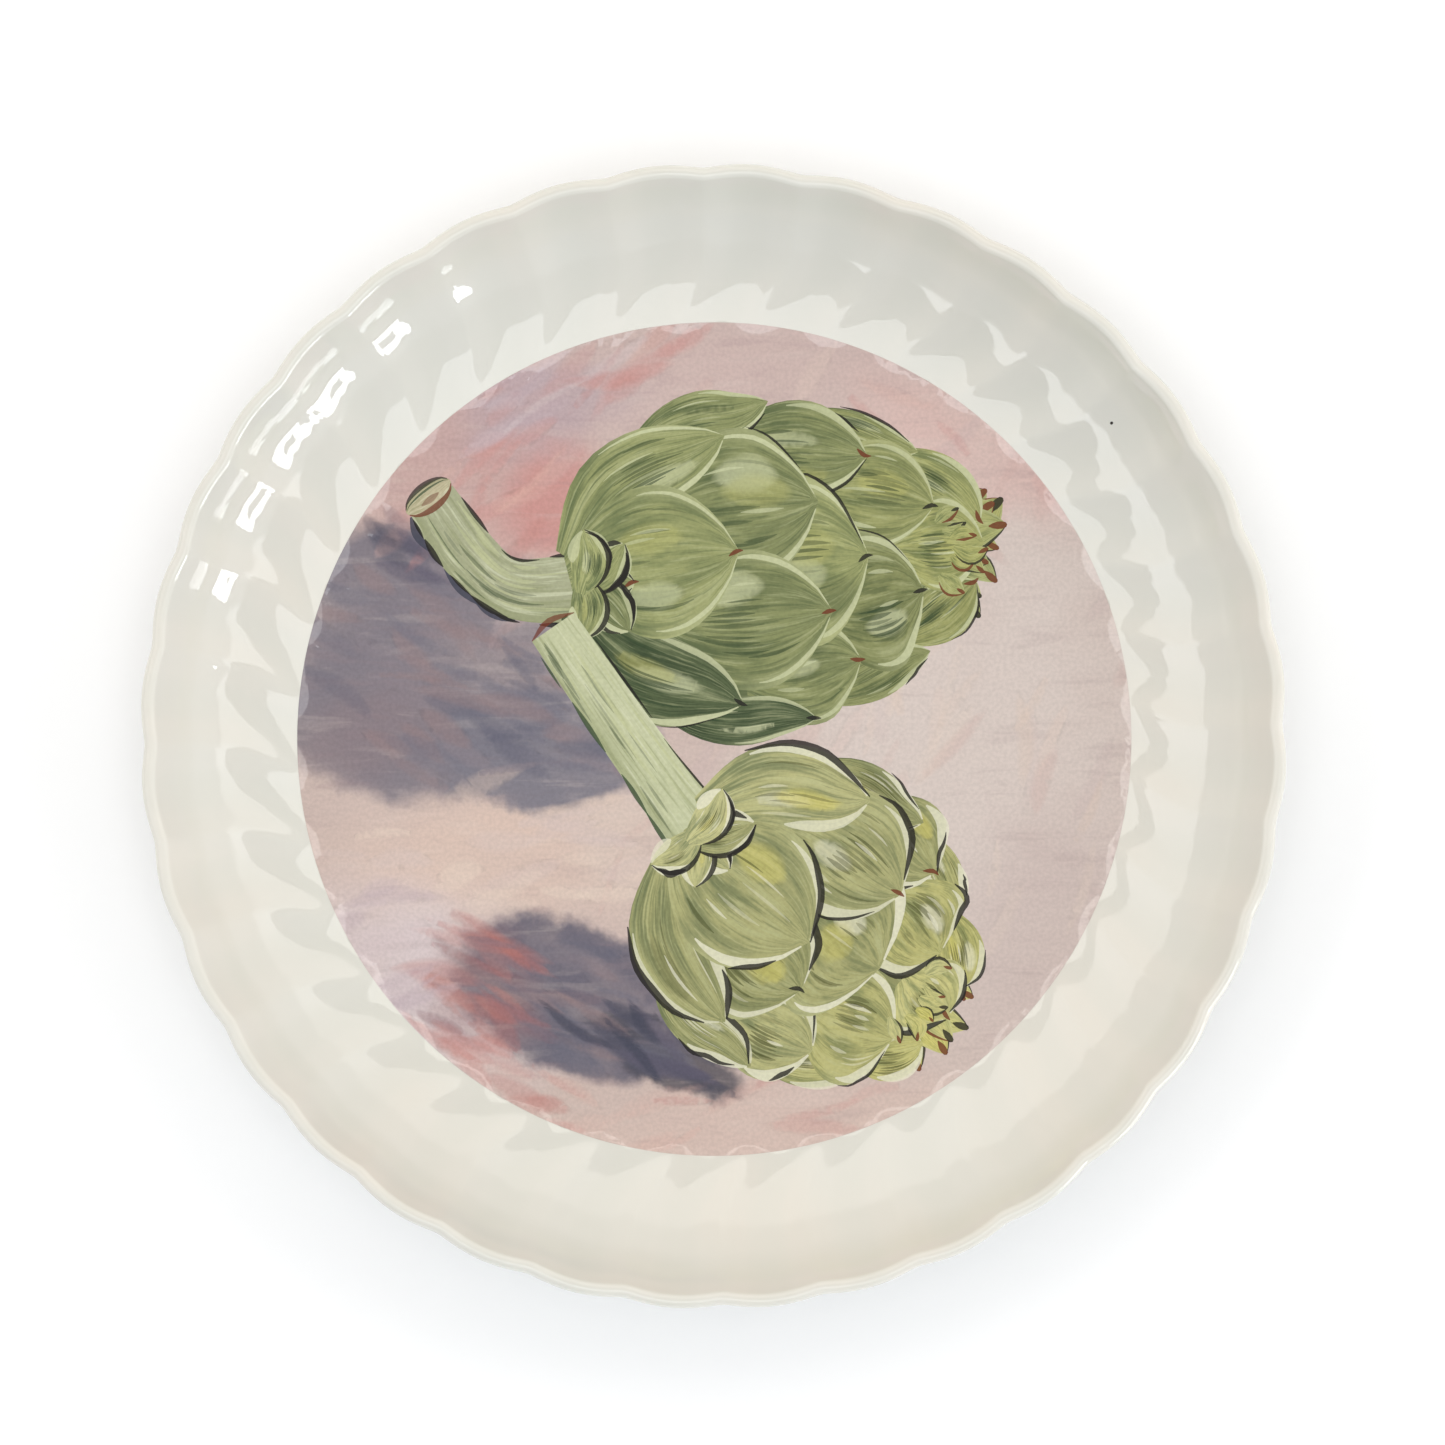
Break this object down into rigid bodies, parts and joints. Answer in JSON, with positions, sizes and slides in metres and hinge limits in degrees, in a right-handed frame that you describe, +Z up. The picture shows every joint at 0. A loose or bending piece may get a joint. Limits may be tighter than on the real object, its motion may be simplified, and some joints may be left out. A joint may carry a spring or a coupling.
{
  "type": "fluted porcelain plate",
  "caption": "Round glazed porcelain plate with a flat printed well, a fluted upturned side, a rounded scalloped lip and a foot ring.",
  "frame": {"origin": "centre of the foot ring's standing plane, on the plate's axis", "axes": "+Z up along the plate's axis, out of the well; +X to the right and +Y to the top of the printed picture"},
  "size_m": [0.2026, 0.2026, 0.025],
  "materials": {
    "cream_glaze": "glossy cream glaze, with a round multicolour picture fired into it over the well"
  },
  "bodies": {
    "root": {"plate": "cream_glaze"}
  },
  "joints": []
}
